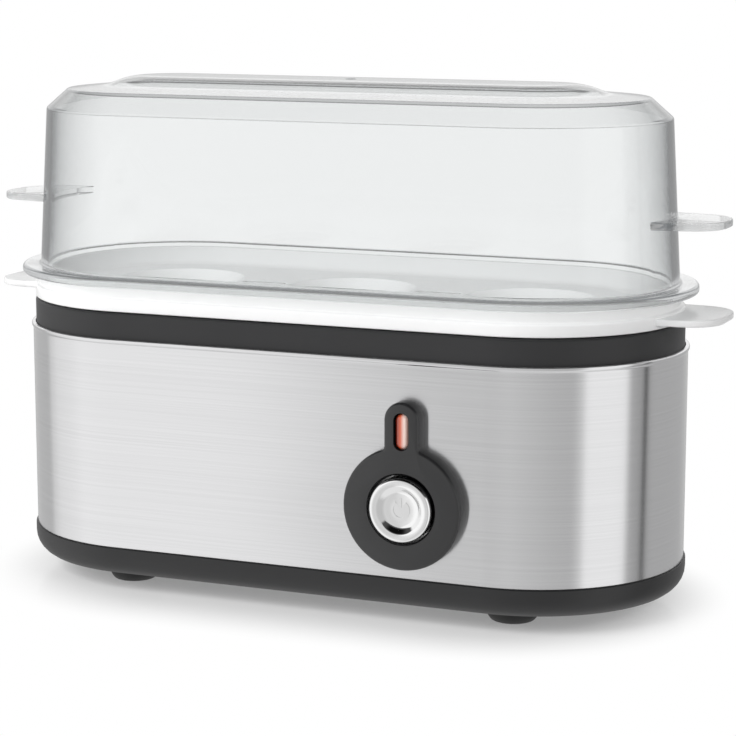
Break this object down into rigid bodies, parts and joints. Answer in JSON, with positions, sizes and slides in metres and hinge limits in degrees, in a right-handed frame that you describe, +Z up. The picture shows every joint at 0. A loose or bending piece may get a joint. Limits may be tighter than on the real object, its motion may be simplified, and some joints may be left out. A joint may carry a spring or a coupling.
{
  "type": "electric egg cooker",
  "caption": "Racetrack-shaped electric egg cooker: brushed steel body, heated dish, lift-out white rack with seats, clear lid with finger tabs, sprung push button in a keyhole bezel.",
  "frame": {"origin": "at table level under the middle of the overall bounding box, which is the middle of the body", "axes": "+X along the body to the right as seen from the control side, +Y to the back, +Z up"},
  "size_m": [0.2082, 0.091, 0.1366],
  "materials": {
    "base_black": "fine satin black moulding",
    "foot_rubber": "black rubber",
    "skirt_steel": "stainless sheet, brushed along its length",
    "charcoal_plastic": "charcoal moulding with a fine grain",
    "dish_steel": "pressed stainless, fine satin",
    "shield_steel": "plain zinc-coated sheet",
    "screw_steel": "zinc-plated steel",
    "spreader_aluminium": "cast aluminium",
    "phenolic_black": "dark phenolic moulding",
    "fuse_metal": "tinned metal",
    "mica": "pressed mica sheet",
    "lens_amber": "translucent orange-red",
    "button_chrome": "satin bright plating",
    "nylon_white": "natural nylon",
    "lamp_glass": "clear glass envelope",
    "block_grey": "pale moulded block",
    "lead_brown": "brown insulation",
    "lead_white": "white silicone insulation",
    "lead_blue": "blue insulation",
    "lead_green": "green insulation",
    "rack_white": "smooth white moulding",
    "lid_clear": "clear colourless moulding"
  },
  "bodies": {
    "base": {"base_pan": "base_black", "steel_skirt": "skirt_steel", "upper_housing": "charcoal_plastic", "housing_screws": "screw_steel", "heating_dish": "dish_steel", "heater_plate": "spreader_aluminium", "mica_heater": "mica", "clamp_plate": "shield_steel", "clamp_screws": "screw_steel", "thermostat": "phenolic_black", "thermal_fuse": "fuse_metal", "control_bezel": "charcoal_plastic", "indicator_lens": "lens_amber", "switch_bracket": "phenolic_black", "switch_body": "phenolic_black", "neon_lamp": "lamp_glass", "lamp_holder": "phenolic_black", "cord_gland": "base_black", "terminal_block": "block_grey", "live_lead": "lead_brown", "switch_lead": "lead_white", "fuse_lead": "lead_white", "neutral_lead": "lead_blue", "earth_lead": "lead_green", "foot_front_left": "foot_rubber", "foot_front_right": "foot_rubber", "foot_rear_left": "foot_rubber", "foot_rear_right": "foot_rubber"},
    "rack": {"egg_rack": "rack_white"},
    "lid": {"lid": "lid_clear"},
    "button": {"button_cap": "button_chrome", "button_plunger": "nylon_white"}
  },
  "joints": [
    {"name": "rack_lift", "type": "slide", "parent": "base", "child": "rack", "axis": [0, 0, 1], "range_m": [0, 0.08]},
    {"name": "lid_lift", "type": "slide", "parent": "rack", "child": "lid", "axis": [0, 0, 1], "range_m": [0, 0.06]},
    {"name": "button_press", "type": "slide", "parent": "base", "child": "button", "axis": [0, 1, 0], "range_m": [0, 0.0025], "stiffness_N_per_m": 800, "springref_m": -0.003}
  ]
}
